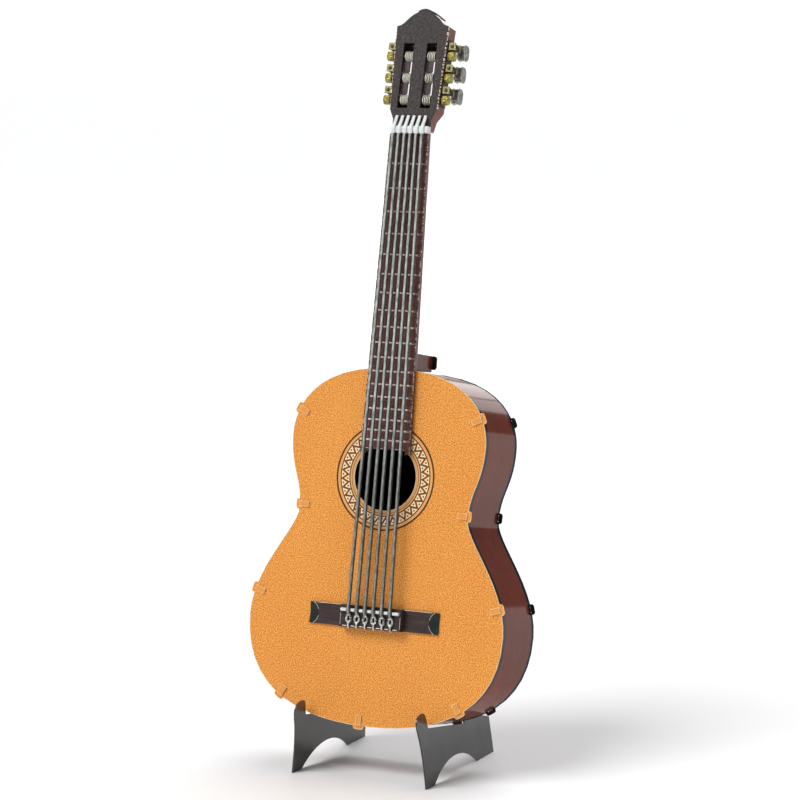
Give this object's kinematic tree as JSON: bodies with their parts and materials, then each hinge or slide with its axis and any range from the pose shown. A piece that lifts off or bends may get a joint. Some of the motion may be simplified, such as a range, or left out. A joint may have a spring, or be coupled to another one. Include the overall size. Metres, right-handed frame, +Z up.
{
  "type": "miniature classical guitar on stand",
  "caption": "Sheet-metal miniature of a classical guitar with folded tabs, strings and turning tuners, leaning on a two-foot stand it lifts off.",
  "frame": {"origin": "middle of the whole object's footprint box, on the surface it stands on", "axes": "+X to the viewer's right as seen from the front, +Y backwards from the soundboard to the tuner buttons, +Z up"},
  "size_m": [0.0644, 0.0438, 0.1751],
  "materials": {
    "stand_metal": "gloss",
    "orange_top": "satin",
    "red_brown": "gloss",
    "dark_brown": "satin",
    "head_grey": "satin",
    "bone_white": "satin",
    "cream_roller": "satin",
    "grey_steel": "satin",
    "gold_metal": "satin",
    "dark_shaft": "satin"
  },
  "bodies": {
    "stand": {"stand_back_rest": "stand_metal", "stand_foot_left": "stand_metal", "stand_foot_right": "stand_metal"},
    "guitar": {"head_face": "head_grey", "head_shell": "red_brown", "head_cap": "head_grey", "tuner_plate_left": "gold_metal", "tuner_plate_right": "gold_metal", "soundboard": "orange_top", "back_plate": "red_brown", "rim_left": "red_brown", "rim_right": "red_brown", "fretboard": "dark_brown", "neck_shell": "red_brown", "neck_heel": "red_brown", "heel_cap": "dark_brown", "nut": "bone_white", "bridge_base": "dark_brown", "tie_block": "dark_brown", "saddle": "bone_white", "string_1": "grey_steel", "string_2": "grey_steel", "string_3": "grey_steel", "string_4": "grey_steel", "string_5": "grey_steel", "string_6": "grey_steel"},
    "roller_left_1": {"string_roller_left_1": "cream_roller", "tuner_gear_left_1": "gold_metal"},
    "button_left_1": {"worm_shaft_left_1": "dark_shaft", "tuner_button_left_1": "grey_steel"},
    "roller_left_2": {"string_roller_left_2": "cream_roller", "tuner_gear_left_2": "gold_metal"},
    "button_left_2": {"worm_shaft_left_2": "dark_shaft", "tuner_button_left_2": "grey_steel"},
    "roller_left_3": {"string_roller_left_3": "cream_roller", "tuner_gear_left_3": "gold_metal"},
    "button_left_3": {"worm_shaft_left_3": "dark_shaft", "tuner_button_left_3": "grey_steel"},
    "roller_right_1": {"string_roller_right_1": "cream_roller", "tuner_gear_right_1": "gold_metal"},
    "button_right_1": {"worm_shaft_right_1": "dark_shaft", "tuner_button_right_1": "grey_steel"},
    "roller_right_2": {"string_roller_right_2": "cream_roller", "tuner_gear_right_2": "gold_metal"},
    "button_right_2": {"worm_shaft_right_2": "dark_shaft", "tuner_button_right_2": "grey_steel"},
    "roller_right_3": {"string_roller_right_3": "cream_roller", "tuner_gear_right_3": "gold_metal"},
    "button_right_3": {"worm_shaft_right_3": "dark_shaft", "tuner_button_right_3": "grey_steel"}
  },
  "joints": [
    {"name": "guitar_lift", "type": "slide", "parent": "stand", "child": "guitar", "axis": [0, 0.1771, 0.9842], "range_m": [0, 0.03]},
    {"name": "button_turn_left_1", "type": "hinge", "parent": "guitar", "child": "button_left_1", "pos_m": [-0.00768, 0.015, 0.16621], "axis": [0, 0.9636, -0.2672], "continuous": true},
    {"name": "roller_turn_left_1", "type": "hinge", "parent": "guitar", "child": "roller_left_1", "pos_m": [-0.003, 0.01391, 0.16413], "axis": [1, 0, 0], "continuous": true},
    {"name": "button_turn_left_2", "type": "hinge", "parent": "guitar", "child": "button_left_2", "pos_m": [-0.00752, 0.01362, 0.16122], "axis": [0, 0.9636, -0.2672], "continuous": true},
    {"name": "roller_turn_left_2", "type": "hinge", "parent": "guitar", "child": "roller_left_2", "pos_m": [-0.003, 0.01252, 0.15913], "axis": [1, 0, 0], "continuous": true},
    {"name": "button_turn_left_3", "type": "hinge", "parent": "guitar", "child": "button_left_3", "pos_m": [-0.00736, 0.01223, 0.15623], "axis": [0, 0.9636, -0.2672], "continuous": true},
    {"name": "roller_turn_left_3", "type": "hinge", "parent": "guitar", "child": "roller_left_3", "pos_m": [-0.003, 0.01114, 0.15414], "axis": [1, 0, 0], "continuous": true},
    {"name": "button_turn_right_1", "type": "hinge", "parent": "guitar", "child": "button_right_1", "pos_m": [0.00768, 0.015, 0.16621], "axis": [0, 0.9636, -0.2672], "continuous": true},
    {"name": "roller_turn_right_1", "type": "hinge", "parent": "guitar", "child": "roller_right_1", "pos_m": [0.003, 0.01391, 0.16413], "axis": [1, 0, 0], "continuous": true},
    {"name": "button_turn_right_2", "type": "hinge", "parent": "guitar", "child": "button_right_2", "pos_m": [0.00752, 0.01362, 0.16122], "axis": [0, 0.9636, -0.2672], "continuous": true},
    {"name": "roller_turn_right_2", "type": "hinge", "parent": "guitar", "child": "roller_right_2", "pos_m": [0.003, 0.01252, 0.15913], "axis": [1, 0, 0], "continuous": true},
    {"name": "button_turn_right_3", "type": "hinge", "parent": "guitar", "child": "button_right_3", "pos_m": [0.00736, 0.01223, 0.15623], "axis": [0, 0.9636, -0.2672], "continuous": true},
    {"name": "roller_turn_right_3", "type": "hinge", "parent": "guitar", "child": "roller_right_3", "pos_m": [0.003, 0.01114, 0.15414], "axis": [1, 0, 0], "continuous": true}
  ],
  "couplings": [
    {"joint": "roller_turn_left_1", "follows": "button_turn_left_1", "ratio": 0.071429},
    {"joint": "roller_turn_left_2", "follows": "button_turn_left_2", "ratio": 0.071429},
    {"joint": "roller_turn_left_3", "follows": "button_turn_left_3", "ratio": 0.071429},
    {"joint": "roller_turn_right_1", "follows": "button_turn_right_1", "ratio": 0.071429},
    {"joint": "roller_turn_right_2", "follows": "button_turn_right_2", "ratio": 0.071429},
    {"joint": "roller_turn_right_3", "follows": "button_turn_right_3", "ratio": 0.071429}
  ]
}
